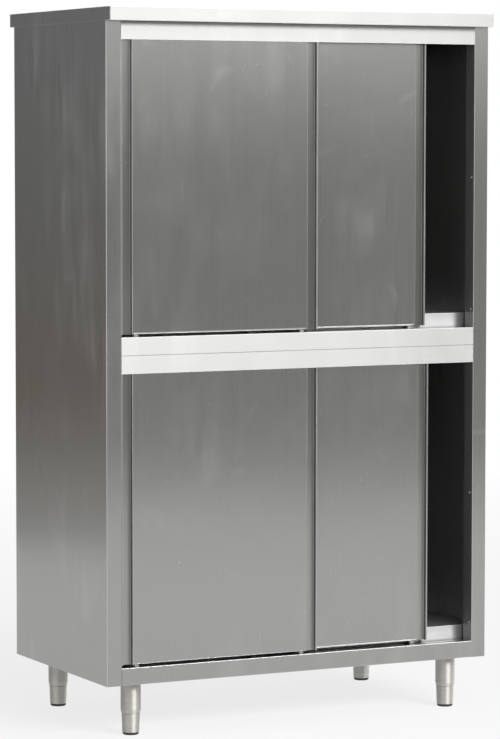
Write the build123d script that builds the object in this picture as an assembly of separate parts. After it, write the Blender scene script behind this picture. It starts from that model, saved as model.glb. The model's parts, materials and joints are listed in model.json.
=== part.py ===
# Stainless steel storage cabinet: two compartments, one above the other, each closed by a pair
# of sliding doors that hang from rollers, on four legs with adjustable feet.
# Millimetres, +Z up, the front faces -Y, and +X is to the right as seen from the front.
# The origin is on the floor, in the middle of the area that the top covers.
from build123d import *
import os

# Overall sizes
WIDTH = 1200.0
DEPTH = 700.0
HEIGHT = 2000.0
LEG_HEIGHT = 147.0
CAP_HEIGHT = 38.0
CAP_FRONT_OVERHANG = 28.0
CAP_BACK_OVERHANG = 30.0

# Sheet metal: thickness, inside radius of every fold, and widths of the folded edges
SHEET = 1.0
BEND = 1.0
CAP_LAP = 12.0
CAP_SIDE_RIM = 15.0
SIDE_FLANGE = 25.0
JAMB_WIDTH = 45.0
JAMB_LIP = 12.0
RAIL_HEIGHT = 50.0
BOTTOM_RAIL_HEIGHT = 48.0
RAIL_RETURN = 15.0
LEDGE_LAP = 1.0
FLOOR_RISE = 40.0
FLOOR_SET_IN = 2.0
FLOOR_SIDE_FLANGE = 20.0
BACK_EDGE_GAP = 1.0

# Hat-shaped stiffeners under the top and under the middle floor
STIFFENER_WIDTH = 60.0
STIFFENER_HEIGHT = 24.0
STIFFENER_FLANGE = 15.0
STIFFENER_SPACING = 260.0
STIFFENER_END_GAP = 12.0

# Channels under the bottom floor, which carry the legs
RUNNER_SHEET = 1.5
RUNNER_WIDTH = 96.0
RUNNER_FLANGE = 15.0
RUNNER_CLEARANCE = 1.0

# Doors
DOOR_THICKNESS = 20.0
DOOR_SETBACK = 4.0
DOOR_GAP = 4.0
DOOR_BACK_GAP = 2.0
DOOR_SIDE_GAP = 1.5
DOOR_BOTTOM_GAP = 7.0
DOOR_TOP_GAP = 12.5
DOOR_OVERLAP = 103.0
DOOR_RETURN = 12.0
DOOR_BOTTOM_BEND = 5.0
GROOVE_WIDTH = 28.0
GROOVE_DEPTH = 14.0
GROOVE_LIP_FLAT = 0.5
FACE_MARGIN = 2.0
UPPER_RIGHT_OPEN = 142.0
LOWER_RIGHT_OPEN = 130.0

# Rollers, their hangers and the double track that they run in
WHEEL_RADIUS = 7.0
WHEEL_WIDTH = 4.5
WHEEL_EDGE = 0.5
WHEEL_GAP = 0.3
WHEEL_SIDE_GAP = 0.4
AXLE_RADIUS = 2.0
AXLE_CLEARANCE = 0.05
AXLE_HEAD_RADIUS = 3.2
AXLE_HEAD_THICKNESS = 1.0
HANGER_THICKNESS = 3.0
HANGER_WIDTH = 36.0
HANGER_FOOT_LENGTH = 52.0
HANGER_FOOT_WIDTH = 14.0
HANGER_CORNER = 6.0
HANGER_INSET = 70.0
TRACK_WALL = 1.5
TRACK_SIDE_GAP = 1.5
TRACK_SLOT_GAP = 1.5
TRACK_HEADROOM = 3.0
TRACK_END_GAP = 1.0
STOP_LENGTH = 12.0
STOP_GAP = 0.3

# Guide slots in the ledges, the glides whose fins run in them, and the buffers on the jambs
FIN_WIDTH = 2.0
FIN_DROP = 3.0
GUIDE_DEPTH = 5.0
GUIDE_END_GAP = 6.0
GLIDE_LENGTH = 12.0
GLIDE_GAP = 0.5
GLIDE_EDGE = 5.0
BUFFER_RADIUS = 3.5
BUFFER_HEIGHT = 3.0
BUFFER_EDGE = 1.2
BUFFER_LOW_RISE = 52.0
BUFFER_HIGH_RISE = 430.0

# Legs and feet
LEG_INSET_SIDE = 98.0
LEG_INSET_FRONT = 60.0
LEG_INSET_BACK = 77.0
LEG_RADIUS = 28.0
LEG_WALL = 1.5
LEG_MOUTH_INSET = 2.2
LEG_TAPER = 11.0
LEG_PLATE = 84.0
LEG_PLATE_THICKNESS = 4.0
LEG_PLATE_RISE = 6.0
LEG_BOLT_SPACING = 64.0
BOLT_RADIUS = 4.0
BOLT_HOLE_GAP = 0.25
BOLT_HEAD_WIDTH = 13.0
BOLT_HEAD_HEIGHT = 5.3
BOLT_END = 3.0
NUT_HEIGHT = 6.5
INSERT_HEIGHT = 24.0
THREAD_CLEARANCE = 0.05
FOOT_HEIGHT = 60.0
FOOT_GAP = 0.5
FOOT_MOUTH_INSET = 0.5
FOOT_TAPER = 1.7
FOOT_EDGE = 1.0
STEM_RADIUS = 8.0
STEM_HEADROOM = 18.0
SOLE_HEIGHT = 7.0
SOLE_INSET = 1.2
SOLE_EDGE = 2.0

# Levels, from the floor up
LEG_TOP = LEG_HEIGHT + LEG_PLATE_RISE
BODY_TOP = HEIGHT - CAP_HEIGHT
LOWER_LEDGE = LEG_HEIGHT + BOTTOM_RAIL_HEIGHT
OPENING_HEIGHT = (BODY_TOP - LOWER_LEDGE - 3 * RAIL_HEIGHT) / 2
MIDDLE = LOWER_LEDGE + OPENING_HEIGHT + RAIL_HEIGHT
UPPER_LEDGE = MIDDLE + RAIL_HEIGHT
BACK_SEAM = UPPER_LEDGE + FLOOR_RISE / 2

# Planes from the front to the back, and half widths from the middle to the side
FRONT = -DEPTH / 2 + CAP_FRONT_OVERHANG
FRONT_DOOR = FRONT + DOOR_SETBACK
REAR_DOOR = FRONT_DOOR + DOOR_THICKNESS + DOOR_GAP
JAMB_BACK = REAR_DOOR + DOOR_THICKNESS + DOOR_BACK_GAP
FLOOR_FRONT = JAMB_BACK + FLOOR_SET_IN
LEDGE_BACK = FLOOR_FRONT + SHEET + LEDGE_LAP
BACK = DEPTH / 2 - CAP_BACK_OVERHANG
BACK_INSIDE = BACK - 2 * SHEET
SIDE = WIDTH / 2
SIDE_INSIDE = SIDE - SHEET
OPENING = SIDE - JAMB_WIDTH

# Track and door sizes that follow from the pieces they hold
AXLE_HALF = HANGER_THICKNESS / 2 + 2 * WHEEL_SIDE_GAP + WHEEL_WIDTH + AXLE_HEAD_THICKNESS
CHANNEL_HALF = AXLE_HALF + TRACK_SIDE_GAP
SLOT_HALF = HANGER_THICKNESS / 2 + TRACK_SLOT_GAP
CHANNEL_HEIGHT = WHEEL_GAP + 2 * WHEEL_RADIUS + TRACK_HEADROOM
TRACK_HEIGHT = CHANNEL_HEIGHT + 2 * TRACK_WALL
AXLE_RISE = DOOR_TOP_GAP + TRACK_WALL + WHEEL_GAP + WHEEL_RADIUS
DOOR_WIDTH = OPENING - DOOR_SIDE_GAP + DOOR_OVERLAP / 2
DOOR_TOP_DROP = SHEET + TRACK_HEIGHT + DOOR_TOP_GAP
DOOR_HEIGHT = OPENING_HEIGHT + RAIL_HEIGHT - DOOR_TOP_DROP - DOOR_BOTTOM_GAP
DOOR_INSIDE = DOOR_THICKNESS - 2 * SHEET
GLIDE_WIDTH = DOOR_THICKNESS - 2 * (DOOR_BOTTOM_BEND + SHEET)
GUIDE_HALF = FIN_WIDTH / 2 + GLIDE_GAP
GUIDE_REACH = OPENING - GUIDE_END_GAP
GROOVE_LIP = 2 * (BEND + SHEET) + GROOVE_LIP_FLAT
FACE_START = GROOVE_LIP + GROOVE_WIDTH + BEND + SHEET + FACE_MARGIN

# Where each door stands: middles of the two door planes, then left edge, face, and the ledge under it
DOOR_MIDDLES = [face + DOOR_THICKNESS / 2 for face in (FRONT_DOOR, REAR_DOOR)]
LEFT_DOOR_X = -OPENING + DOOR_SIDE_GAP
RIGHT_DOOR_X = OPENING - DOOR_SIDE_GAP - DOOR_WIDTH
DOORS = {
    "upper_left_door": (LEFT_DOOR_X, FRONT_DOOR, UPPER_LEDGE),
    "upper_right_door": (RIGHT_DOOR_X - UPPER_RIGHT_OPEN, REAR_DOOR, UPPER_LEDGE),
    "lower_left_door": (LEFT_DOOR_X, FRONT_DOOR, LOWER_LEDGE),
    "lower_right_door": (RIGHT_DOOR_X - LOWER_RIGHT_OPEN, REAR_DOOR, LOWER_LEDGE),
}

# Where each leg stands
LEG_X = SIDE - LEG_INSET_SIDE
LEG_FRONT_Y = FRONT + LEG_INSET_FRONT
LEG_BACK_Y = BACK - LEG_INSET_BACK
LEGS = {
    "front_left": (-LEG_X, LEG_FRONT_Y),
    "front_right": (LEG_X, LEG_FRONT_Y),
    "back_left": (-LEG_X, LEG_BACK_Y),
    "back_right": (LEG_X, LEG_BACK_Y),
}


# Building blocks
def block(x, y, z):
    """A box between the two limits given on each axis."""
    size = Box(x[1] - x[0], y[1] - y[0], z[1] - z[0], align=(Align.MIN, Align.MIN, Align.MIN))
    return Pos(x[0], y[0], z[0]) * size


def group(shapes):
    """Like pieces that share a node, each still a solid of its own."""
    return Compound(children=list(shapes))


def sheet_section(points, thickness=SHEET, bends=None):
    """Section of a folded sheet: the points run along one face, and the sheet lies to their left.
    Every fold has the usual inside radius, unless a list gives one for each."""
    line = [Vector(*point) for point in points]
    runs = [(end - start).normalized() for start, end in zip(line, line[1:])]
    lefts = [Vector(-run.Y, run.X) for run in runs]
    turns = [before.cross(after).Z for before, after in zip(runs, runs[1:])]
    mitres = [(a + b) * (1 / (1 + a.dot(b))) for a, b in zip(lefts, lefts[1:])]
    shifts = [lefts[0], *mitres, lefts[-1]]
    other = [point + shift * thickness for point, shift in zip(line, shifts)]
    inside = bends or [BEND] * len(turns)
    near_radii = [bend + thickness if turn > 0 else bend for bend, turn in zip(inside, turns)]
    far_radii = [bend if turn > 0 else bend + thickness for bend, turn in zip(inside, turns)]
    return make_face([
        FilletPolyline(*line, radius=near_radii),
        Line(line[-1], other[-1]),
        FilletPolyline(*reversed(other), radius=far_radii[::-1]),
        Line(other[0], line[0]),
    ])


def fold_along_x(points, start, end, thickness=SHEET, bends=None):
    """A folded sheet whose section, in Y and Z, runs along X."""
    return extrude(Plane.YZ.offset(start) * sheet_section(points, thickness, bends), end - start)


def fold_along_y(points, start, end, thickness=SHEET):
    """A folded sheet whose section, in X and Z, runs along Y."""
    return extrude(Plane.XZ.offset(-end) * sheet_section(points, thickness), end - start)


def fold_along_z(points, start, end, thickness=SHEET):
    """A folded sheet whose section, in X and Y, runs along Z."""
    return extrude(Plane.XY.offset(start) * sheet_section(points, thickness), end - start)


def hat_points(centre, top, width, height, flange):
    """Section of a hat-shaped stiffener that hangs from a plate whose underside is at top."""
    half = width / 2
    bottom = top - height
    return [
        (centre + half + flange, top),
        (centre + half, top),
        (centre + half, bottom),
        (centre - half, bottom),
        (centre - half, top),
        (centre - half - flange, top),
    ]


def turned(profile):
    """A round piece about Z from half its outline, given as radius and height."""
    outline = Polyline(*profile, close=True)
    return revolve(Plane.XZ * make_face(outline), Axis.Z)


# Top and carcass
def top_cap():
    """The top: a tray turned upside down, with a rim turned in under its edges."""
    middle = Pos(0, 0, (BODY_TOP + HEIGHT) / 2)
    outside = Box(WIDTH, DEPTH, CAP_HEIGHT)
    outside = middle * fillet(outside.edges(), BEND + SHEET)
    inside = Box(WIDTH - 2 * SHEET, DEPTH - 2 * SHEET, CAP_HEIGHT - 2 * SHEET)
    inside = middle * fillet(inside.edges(), BEND)
    mouth = block(
        (-SIDE + CAP_SIDE_RIM, SIDE - CAP_SIDE_RIM),
        (FRONT + CAP_LAP, BACK - CAP_LAP),
        (BODY_TOP - SHEET, BODY_TOP + CAP_HEIGHT / 2),
    )
    return outside - inside - mouth


def stiffeners(top, half_length):
    """A pair of hat-shaped stiffeners from side to side under a plate."""
    pair = []
    for y in (-STIFFENER_SPACING / 2, STIFFENER_SPACING / 2):
        points = hat_points(y, top, STIFFENER_WIDTH, STIFFENER_HEIGHT, STIFFENER_FLANGE)
        pair.append(fold_along_x(points, -half_length, half_length))
    return group(pair)


def left_side_panel():
    """Side wall folded round the front into a jamb and its return, and round the back into a flange."""
    section = [
        (-SIDE + SIDE_FLANGE, BACK),
        (-SIDE, BACK),
        (-SIDE, FRONT),
        (-OPENING, FRONT),
        (-OPENING, JAMB_BACK),
        (-OPENING - JAMB_LIP, JAMB_BACK),
    ]
    panel = fold_along_z(section, LEG_HEIGHT, BODY_TOP)
    wall_edge = (-SIDE_INSIDE, -SIDE + SIDE_FLANGE)
    jamb_edge = (-SIDE_INSIDE, -OPENING - SHEET)
    for z in ((LEG_HEIGHT, LEG_HEIGHT + SHEET), (BODY_TOP - SHEET, BODY_TOP)):
        panel += block(wall_edge, (FRONT + SHEET, BACK_INSIDE), z)
        panel += block(jamb_edge, (FRONT + SHEET, JAMB_BACK - SHEET), z)
    return panel


def back_panel(bottom, top):
    """A flat sheet that lies on the inside of the side panels' back flanges."""
    half = SIDE_INSIDE - BEND - BACK_EDGE_GAP
    return block((-half, half), (BACK_INSIDE, BACK_INSIDE + SHEET), (bottom, top))


def compartment_floor(ledge):
    """Floor of a compartment, folded down at the front on to the ledge, at the back and at the sides."""
    level = ledge + FLOOR_RISE
    section = [
        (BACK_INSIDE, ledge),
        (BACK_INSIDE, level),
        (FLOOR_FRONT, level),
        (FLOOR_FRONT, ledge),
    ]
    floor = fold_along_x(section, -SIDE_INSIDE, SIDE_INSIDE)
    inner = (FLOOR_FRONT + SHEET, BACK_INSIDE - SHEET)
    drop = (level - FLOOR_SIDE_FLANGE, level - SHEET)
    floor += block((-SIDE_INSIDE, -SIDE_INSIDE + SHEET), inner, drop)
    floor += block((SIDE_INSIDE - SHEET, SIDE_INSIDE), inner, drop)
    return floor


def ledge_rail(bottom, ledge):
    """Rail under an opening: a face, a ledge slotted under each door and a short return at the bottom."""
    section = [
        (LEDGE_BACK, ledge),
        (FRONT, ledge),
        (FRONT, bottom),
        (FRONT + RAIL_RETURN, bottom),
    ]
    rail = fold_along_x(section, -OPENING, OPENING)
    for y in DOOR_MIDDLES:
        slot_width = (y - GUIDE_HALF, y + GUIDE_HALF)
        rail -= block((-GUIDE_REACH, GUIDE_REACH), slot_width, (ledge - 2 * SHEET, ledge + SHEET))
    return rail


def header(top):
    """Rail over an opening: a face, and a flange at the top that carries the track."""
    section = [
        (LEDGE_BACK, top),
        (FRONT, top),
        (FRONT, top - RAIL_HEIGHT),
    ]
    return fold_along_x(section, -OPENING, OPENING)


def base_runners():
    """Channels from front to back under the bottom floor, notched at the front under the ledge."""
    floor_underside = LOWER_LEDGE + FLOOR_RISE - SHEET
    guide_underside = LOWER_LEDGE - SHEET - GUIDE_DEPTH - SHEET
    height = floor_underside - LEG_TOP - LEG_PLATE_THICKNESS - RUNNER_SHEET
    reach = (FRONT + RAIL_RETURN + RUNNER_CLEARANCE, BACK_INSIDE - SHEET - RUNNER_CLEARANCE)
    notch = block(
        (-SIDE, SIDE),
        (FRONT, LEDGE_BACK + RUNNER_CLEARANCE),
        (guide_underside - RUNNER_CLEARANCE, floor_underside + RUNNER_CLEARANCE),
    )
    runners = []
    for x in (-LEG_X, LEG_X):
        points = hat_points(x, floor_underside, RUNNER_WIDTH, height, RUNNER_FLANGE)
        runner = fold_along_y(points, *reach, RUNNER_SHEET) - notch
        runners.append(runner - bolt_holes(x, LEG_FRONT_Y) - bolt_holes(x, LEG_BACK_Y))
    return group(runners)


# Tracks, guides, stops and buffers
def door_track(top):
    """Double track: two channels side by side, open below through a slot for the hangers."""
    length = (-OPENING + TRACK_END_GAP, OPENING - TRACK_END_GAP)
    ceiling = top - TRACK_WALL
    bottom = top - TRACK_HEIGHT
    lip_top = bottom + TRACK_WALL
    outer = CHANNEL_HALF + TRACK_WALL
    track = block(length, (DOOR_MIDDLES[0] - outer, DOOR_MIDDLES[1] + outer), (ceiling, top))
    for y in DOOR_MIDDLES:
        track += block(length, (y - outer, y - CHANNEL_HALF), (bottom, ceiling))
        track += block(length, (y + CHANNEL_HALF, y + outer), (bottom, ceiling))
        track += block(length, (y - CHANNEL_HALF, y - SLOT_HALF), (bottom, lip_top))
        track += block(length, (y + SLOT_HALF, y + CHANNEL_HALF), (bottom, lip_top))
    return track


def track_stops():
    """Blocks in the tracks that stop each door's outer hanger when the door is closed."""
    reach = HANGER_INSET - HANGER_WIDTH / 2 - STOP_GAP
    left = LEFT_DOOR_X + reach
    right = RIGHT_DOOR_X + DOOR_WIDTH - reach
    stops = []
    for top in (BODY_TOP - SHEET, MIDDLE - SHEET):
        z = (top - TRACK_HEIGHT + TRACK_WALL, top - TRACK_WALL)
        for x, face in (((left - STOP_LENGTH, left), FRONT_DOOR), ((right, right + STOP_LENGTH), REAR_DOOR)):
            y = face + DOOR_THICKNESS / 2
            stops.append(block(x, (y - CHANNEL_HALF, y + CHANNEL_HALF), z))
    return group(stops)


def bottom_guides():
    """Channels under the ledges' slots, in which the glides' fins run."""
    guides = []
    for ledge in (LOWER_LEDGE, UPPER_LEDGE):
        top = ledge - SHEET
        for y in DOOR_MIDDLES:
            section = [
                (y + GUIDE_HALF, top),
                (y + GUIDE_HALF, top - GUIDE_DEPTH),
                (y - GUIDE_HALF, top - GUIDE_DEPTH),
                (y - GUIDE_HALF, top),
            ]
            guides.append(fold_along_x(section, -GUIDE_REACH, GUIDE_REACH))
    return group(guides)


def door_buffers():
    """Round buffers on the jambs' returns, where a door arrives when it is pushed fully open."""
    disc = Cylinder(BUFFER_RADIUS, BUFFER_HEIGHT, align=(Align.CENTER, Align.CENTER, Align.MIN))
    disc = fillet(disc.faces().sort_by(Axis.Z)[-1].edges(), BUFFER_EDGE)
    buffers = []
    for ledge in (LOWER_LEDGE, UPPER_LEDGE):
        for rise in (BUFFER_LOW_RISE, BUFFER_HIGH_RISE):
            for x, face, turn in ((-OPENING, REAR_DOOR, 90), (OPENING, FRONT_DOOR, -90)):
                place = Pos(x, face + DOOR_THICKNESS / 2, ledge + rise) * Rot(0, turn, 0)
                buffers.append(place * disc)
    return group(buffers)


# Doors, each drawn with its left edge at X 0, its face at Y 0 and its bottom at Z 0
def door_skin():
    """Face folded back at the top, rolled back at the bottom, and with a groove and a return at each side."""
    groove_end = GROOVE_LIP + GROOVE_WIDTH
    edge = [
        (DOOR_RETURN, DOOR_THICKNESS),
        (0, DOOR_THICKNESS),
        (0, 0),
        (GROOVE_LIP, 0),
        (GROOVE_LIP, GROOVE_DEPTH),
        (groove_end, GROOVE_DEPTH),
        (groove_end, 0),
        (FACE_START, 0),
    ]
    face = [
        (DOOR_INSIDE, DOOR_HEIGHT),
        (0, DOOR_HEIGHT),
        (0, 0),
        (DOOR_INSIDE, 0),
    ]
    left_edge = fold_along_z(edge, 0, DOOR_HEIGHT)
    right_edge = Pos(DOOR_WIDTH, 0, 0) * mirror(left_edge, about=Plane.YZ)
    middle = fold_along_x(face, FACE_START, DOOR_WIDTH - FACE_START, bends=[BEND, DOOR_BOTTOM_BEND])
    return middle + left_edge + right_edge


def door_liner():
    """Flat back sheet that lies on the inside of the skin's returns."""
    edge = SHEET + BEND + BACK_EDGE_GAP
    return block((edge, DOOR_WIDTH - edge), (DOOR_INSIDE, DOOR_INSIDE + SHEET), (0, DOOR_HEIGHT))


def hanger():
    """Upright plate on a foot, with the axle of its two wheels riveted through it."""
    foot_top = DOOR_HEIGHT + HANGER_THICKNESS
    axle_z = DOOR_HEIGHT + AXLE_RISE
    plate_top = axle_z + WHEEL_RADIUS
    half = HANGER_WIDTH / 2
    plate = block(
        (-half, half),
        (-HANGER_THICKNESS / 2, HANGER_THICKNESS / 2),
        (foot_top, plate_top),
    )
    corners = plate.edges().filter_by(Axis.Y).group_by(Axis.Z)[-1]
    plate = fillet(corners, HANGER_CORNER)
    foot = block(
        (-HANGER_FOOT_LENGTH / 2, HANGER_FOOT_LENGTH / 2),
        (-HANGER_FOOT_WIDTH / 2, HANGER_FOOT_WIDTH / 2),
        (DOOR_HEIGHT, foot_top),
    )
    along_y = Pos(0, 0, axle_z) * Rot(90, 0, 0)
    axle = along_y * Cylinder(AXLE_RADIUS, 2 * AXLE_HALF)
    head = Cylinder(AXLE_HEAD_RADIUS, AXLE_HEAD_THICKNESS)
    head_middle = AXLE_HALF - AXLE_HEAD_THICKNESS / 2
    heads = [along_y * Pos(0, 0, side * head_middle) * head for side in (-1, 1)]
    return plate + foot + axle + heads


def roller():
    """The two wheels of a hanger, one each side of its plate."""
    wheel = Cylinder(WHEEL_RADIUS, WHEEL_WIDTH)
    wheel = fillet(wheel.edges(), WHEEL_EDGE)
    wheel -= Cylinder(AXLE_RADIUS + AXLE_CLEARANCE, 2 * WHEEL_WIDTH)
    middle = HANGER_THICKNESS / 2 + WHEEL_SIDE_GAP + WHEEL_WIDTH / 2
    along_y = Pos(0, 0, DOOR_HEIGHT + AXLE_RISE) * Rot(90, 0, 0)
    return [along_y * Pos(0, 0, side * middle) * wheel for side in (-1, 1)]


def glide():
    """Block under the door, with a fin that runs in the ledge's slot."""
    length = (-GLIDE_LENGTH / 2, GLIDE_LENGTH / 2)
    bottom = GLIDE_GAP - DOOR_BOTTOM_GAP
    fin_bottom = -DOOR_BOTTOM_GAP - SHEET - FIN_DROP
    body = block(length, (-GLIDE_WIDTH / 2, GLIDE_WIDTH / 2), (bottom, 0))
    return body + block(length, (-FIN_WIDTH / 2, FIN_WIDTH / 2), (fin_bottom, bottom))


def door_nodes(name, left, face, ledge):
    """All the pieces of one door, in place."""
    place = Pos(left, face, ledge + DOOR_BOTTOM_GAP)
    middle = DOOR_THICKNESS / 2
    hangs = {"left": HANGER_INSET, "right": DOOR_WIDTH - HANGER_INSET}
    glide_inset = FACE_START + GLIDE_EDGE + GLIDE_LENGTH / 2
    nodes = {
        f"{name}_skin": place * door_skin(),
        f"{name}_liner": place * door_liner(),
        f"{name}_hangers": group(place * Pos(x, middle, 0) * hanger() for x in hangs.values()),
        f"{name}_glides": group(
            place * Pos(x, middle, 0) * glide() for x in (glide_inset, DOOR_WIDTH - glide_inset)
        ),
    }
    for side, x in hangs.items():
        nodes[f"{name}_{side}_roller"] = group(place * Pos(x, middle, 0) * wheel for wheel in roller())
    return nodes


# Legs and feet
def bolt_places(x, y):
    """The four bolts round a leg."""
    half = LEG_BOLT_SPACING / 2
    return [(x + i * half, y + j * half) for i in (-1, 1) for j in (-1, 1)]


def bolt_holes(x, y):
    """Clearance holes for a leg's bolts, through the plate and the runner."""
    depth = LEG_PLATE_THICKNESS + RUNNER_SHEET
    hole = Cylinder(BOLT_RADIUS + BOLT_HOLE_GAP, 4 * depth)
    return Part() + [Pos(px, py, LEG_TOP) * hole for px, py in bolt_places(x, y)]


def leg_plate(x, y):
    """Square plate at the top of a leg, set up behind the bottom rail so that the bolts don't show."""
    half = LEG_PLATE / 2
    thickness = (LEG_TOP, LEG_TOP + LEG_PLATE_THICKNESS)
    return block((x - half, x + half), (y - half, y + half), thickness) - bolt_holes(x, y)


def leg_bolt(x, y):
    """Hexagon-head bolt, from below."""
    length = LEG_PLATE_THICKNESS + RUNNER_SHEET + NUT_HEIGHT + BOLT_END
    flats = RegularPolygon(BOLT_HEAD_WIDTH / 2, 6, major_radius=False)
    head = Pos(x, y, LEG_TOP - BOLT_HEAD_HEIGHT) * extrude(flats, BOLT_HEAD_HEIGHT)
    shank = Cylinder(BOLT_RADIUS, length, align=(Align.CENTER, Align.CENTER, Align.MIN))
    return head + Pos(x, y, LEG_TOP) * shank


def leg_nut(x, y):
    """Hexagon nut on the runner."""
    flats = RegularPolygon(BOLT_HEAD_WIDTH / 2, 6, major_radius=False)
    flats -= Circle(BOLT_RADIUS + THREAD_CLEARANCE)
    return Pos(x, y, LEG_TOP + LEG_PLATE_THICKNESS + RUNNER_SHEET) * extrude(flats, NUT_HEIGHT)


def leg_tube():
    """Tube whose mouth is rolled in round the foot's insert."""
    mouth = LEG_RADIUS - LEG_MOUTH_INSET
    shoulder = FOOT_HEIGHT + LEG_TAPER
    return turned([
        (LEG_RADIUS, LEG_TOP),
        (LEG_RADIUS, shoulder),
        (mouth, FOOT_HEIGHT),
        (mouth - LEG_WALL, FOOT_HEIGHT),
        (LEG_RADIUS - LEG_WALL, shoulder),
        (LEG_RADIUS - LEG_WALL, LEG_TOP),
    ])


def leg_insert():
    """Threaded plug that rests on the leg's rolled-in mouth."""
    radius = LEG_RADIUS - LEG_WALL - THREAD_CLEARANCE
    bottom = FOOT_HEIGHT + LEG_TAPER
    bore = STEM_RADIUS + THREAD_CLEARANCE
    return turned([
        (bore, bottom),
        (radius, bottom),
        (radius, bottom + INSERT_HEIGHT),
        (bore, bottom + INSERT_HEIGHT),
    ])


def foot():
    """Tapered foot, with the threaded stem that screws into the insert."""
    top = FOOT_HEIGHT - FOOT_GAP
    radius = LEG_RADIUS - LEG_MOUTH_INSET - FOOT_MOUTH_INSET
    stem_top = LEG_TOP - STEM_HEADROOM
    return turned([
        (0, SOLE_HEIGHT),
        (radius - FOOT_TAPER, SOLE_HEIGHT),
        (radius, top - FOOT_EDGE),
        (radius - FOOT_EDGE, top),
        (STEM_RADIUS, top),
        (STEM_RADIUS, stem_top),
        (0, stem_top),
    ])


def foot_sole():
    """Plastic sole under a foot."""
    radius = LEG_RADIUS - LEG_MOUTH_INSET - FOOT_MOUTH_INSET - FOOT_TAPER - SOLE_INSET
    return turned([
        (0, 0),
        (radius - SOLE_EDGE, 0),
        (radius, SOLE_EDGE),
        (radius, SOLE_HEIGHT),
        (0, SOLE_HEIGHT),
    ])


# The whole cabinet, one entry for each node
left_panel = left_side_panel()
cabinet = {
    "top_cap": top_cap(),
    "top_stiffeners": stiffeners(HEIGHT - SHEET, SIDE - CAP_SIDE_RIM - STIFFENER_END_GAP),
    "left_side_panel": left_panel,
    "right_side_panel": mirror(left_panel, about=Plane.YZ),
    "upper_back_panel": back_panel(BACK_SEAM, BODY_TOP),
    "lower_back_panel": back_panel(LEG_HEIGHT, BACK_SEAM),
    "upper_floor": compartment_floor(UPPER_LEDGE),
    "upper_floor_stiffeners": stiffeners(
        UPPER_LEDGE + FLOOR_RISE - SHEET, SIDE_INSIDE - SHEET - STIFFENER_END_GAP
    ),
    "lower_floor": compartment_floor(LOWER_LEDGE),
    "base_runners": base_runners(),
    "upper_header": header(BODY_TOP),
    "upper_ledge_rail": ledge_rail(MIDDLE, UPPER_LEDGE),
    "lower_header": header(MIDDLE),
    "lower_ledge_rail": ledge_rail(LEG_HEIGHT, LOWER_LEDGE),
    "upper_door_track": door_track(BODY_TOP - SHEET),
    "lower_door_track": door_track(MIDDLE - SHEET),
    "track_stops": track_stops(),
    "bottom_guides": bottom_guides(),
    "door_buffers": door_buffers(),
    "leg_plates": group(leg_plate(x, y) for x, y in LEGS.values()),
    "leg_bolts": group(leg_bolt(*spot) for leg in LEGS.values() for spot in bolt_places(*leg)),
    "leg_nuts": group(leg_nut(*spot) for leg in LEGS.values() for spot in bolt_places(*leg)),
    "leg_inserts": group(Pos(x, y, 0) * leg_insert() for x, y in LEGS.values()),
}
for door, (left, face, ledge) in DOORS.items():
    cabinet |= door_nodes(door, left, face, ledge)
for leg, (x, y) in LEGS.items():
    cabinet[f"{leg}_leg"] = Pos(x, y, 0) * leg_tube()
    cabinet[f"{leg}_foot"] = Pos(x, y, 0) * foot()
    cabinet[f"{leg}_sole"] = Pos(x, y, 0) * foot_sole()

os.makedirs("parts", exist_ok=True)
for node, shape in cabinet.items():
    export_step(shape, f"parts/{node}.step")
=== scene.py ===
import json
from math import atan2, cos, pi, radians

import bpy
from bpy.props import FloatProperty, FloatVectorProperty, PointerProperty
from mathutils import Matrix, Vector

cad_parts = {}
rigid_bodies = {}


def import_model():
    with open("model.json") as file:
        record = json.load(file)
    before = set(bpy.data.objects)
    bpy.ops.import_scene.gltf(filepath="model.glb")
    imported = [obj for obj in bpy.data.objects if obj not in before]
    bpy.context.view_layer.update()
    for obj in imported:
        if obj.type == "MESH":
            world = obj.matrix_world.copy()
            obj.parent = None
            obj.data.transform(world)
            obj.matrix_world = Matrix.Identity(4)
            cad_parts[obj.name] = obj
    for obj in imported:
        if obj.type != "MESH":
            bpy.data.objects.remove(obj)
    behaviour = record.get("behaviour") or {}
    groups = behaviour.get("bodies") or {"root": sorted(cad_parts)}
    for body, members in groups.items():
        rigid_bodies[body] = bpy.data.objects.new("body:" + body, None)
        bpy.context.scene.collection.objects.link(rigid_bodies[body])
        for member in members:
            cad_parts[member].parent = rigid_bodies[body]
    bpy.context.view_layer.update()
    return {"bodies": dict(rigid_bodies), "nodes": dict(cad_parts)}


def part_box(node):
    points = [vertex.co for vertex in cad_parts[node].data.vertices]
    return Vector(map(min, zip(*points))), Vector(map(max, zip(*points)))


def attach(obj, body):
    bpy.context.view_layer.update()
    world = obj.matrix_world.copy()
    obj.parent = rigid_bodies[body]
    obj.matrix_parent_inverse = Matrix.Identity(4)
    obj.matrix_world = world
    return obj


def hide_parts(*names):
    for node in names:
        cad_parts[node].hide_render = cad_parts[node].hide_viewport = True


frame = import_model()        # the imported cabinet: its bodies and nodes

bl_info = {
    "name": "Stainless steel storage cabinet",
    "version": (1, 0, 0),
    "blender": (4, 5, 0),
    "location": "3D View > Sidebar > Cabinet",
    "description": "Dresses the cabinet in brushed steel, adds its fasteners and sets the studio",
    "category": "Object",
}

# Names read from the frame
DOORS = [body for body in frame["bodies"] if body.endswith("_door")]
FEET = [body for body in frame["bodies"] if body.endswith("_foot")]
LEGS = [foot.replace("_foot", "_leg") for foot in FEET]

# Sizes of the back flanges, hangers and feet that the fasteners sit on
SIDE_FLANGE = 0.025
HANGER_FOOT_LENGTH = 0.052
HANGER_FOOT_THICKNESS = 0.003
FOOT_TOP = 0.0595
FOOT_EDGE = 0.001
FOOT_TAPER = 0.0017
STEM_RADIUS = 0.008

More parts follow.
